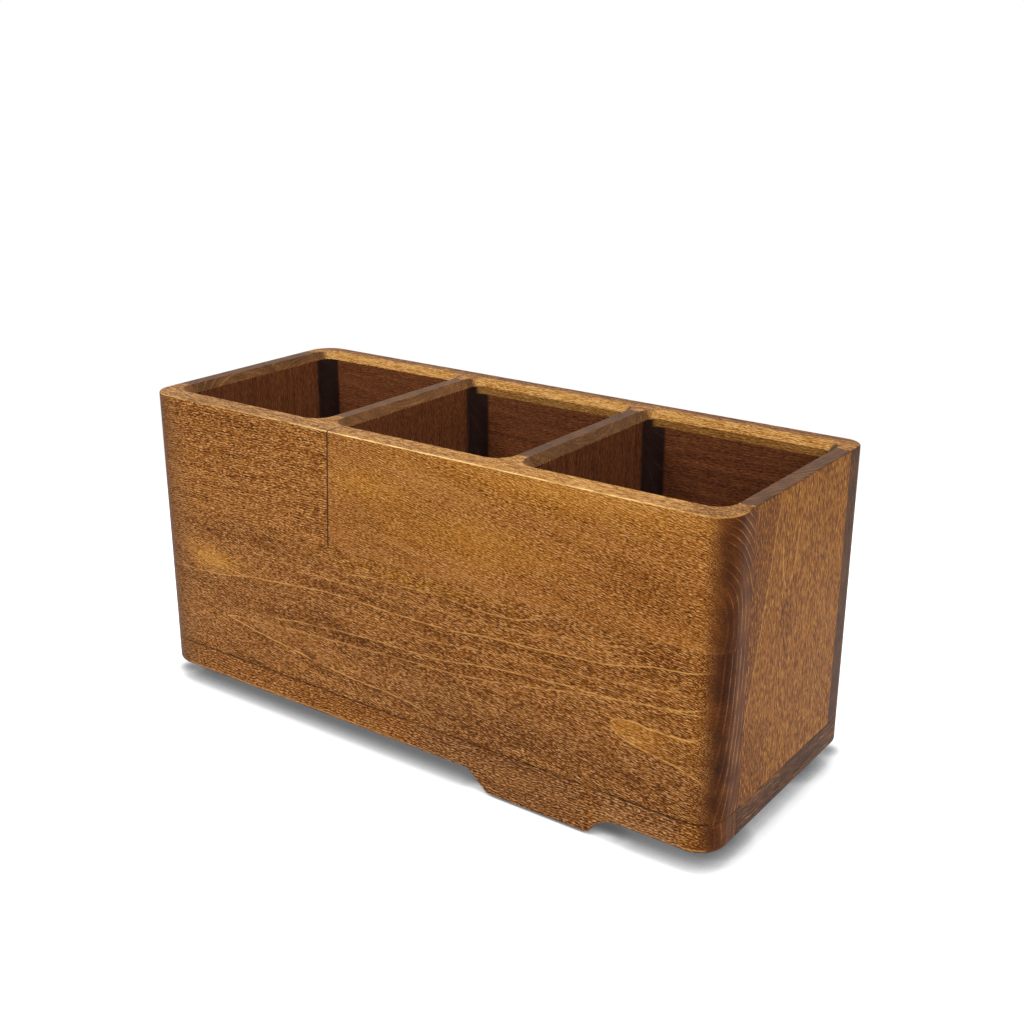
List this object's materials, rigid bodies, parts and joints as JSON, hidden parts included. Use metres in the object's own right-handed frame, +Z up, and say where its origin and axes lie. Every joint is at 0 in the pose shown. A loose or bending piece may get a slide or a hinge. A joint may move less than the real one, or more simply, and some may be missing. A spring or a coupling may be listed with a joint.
{
  "type": "utensil caddy with drawer",
  "caption": "Long wooden utensil caddy with open-topped compartments side by side, over a slim slide-out tray that is pulled by a finger tab.",
  "frame": {"origin": "on the table, under the centre of the box's footprint", "axes": "+Z up, +X along the long side, front with the finger tab faces -Y"},
  "size_m": [0.3, 0.1194, 0.1445],
  "materials": {
    "stained_wood": "satin stained hardwood",
    "floor_ply": "satin stained plywood",
    "tray_wood": "satin stained hardwood",
    "dowel_wood": "raw beech",
    "foot_rubber": "matt black rubber",
    "screw_steel": "zinc plated"
  },
  "bodies": {
    "caddy": {"front_upper_left_stave": "stained_wood", "front_upper_right_stave": "stained_wood", "front_lower_stave": "stained_wood", "back_upper_stave": "stained_wood", "back_lower_stave": "stained_wood", "left_wall_front_stave": "stained_wood", "left_wall_rear_stave": "stained_wood", "right_wall_front_stave": "stained_wood", "right_wall_rear_stave": "stained_wood", "left_divider": "stained_wood", "right_divider": "stained_wood", "left_rail": "stained_wood", "right_rail": "stained_wood", "back_rail": "stained_wood", "floor_panel": "floor_ply", "wall_dowels": "dowel_wood", "divider_dowels": "dowel_wood", "front_left_foot": "foot_rubber", "front_right_foot": "foot_rubber", "rear_left_foot": "foot_rubber", "rear_right_foot": "foot_rubber", "rail_screws": "screw_steel", "floor_screws": "screw_steel", "foot_screws": "screw_steel", "stop_pins": "screw_steel"},
    "tray": {"tray_front": "stained_wood", "tray_bottom": "floor_ply", "tray_left_side": "tray_wood", "tray_right_side": "tray_wood", "tray_back": "tray_wood", "tray_brads": "screw_steel"}
  },
  "joints": [
    {"name": "tray_slide", "type": "slide", "parent": "caddy", "child": "tray", "axis": [0, -1, 0], "range_m": [0, 0.06]}
  ]
}
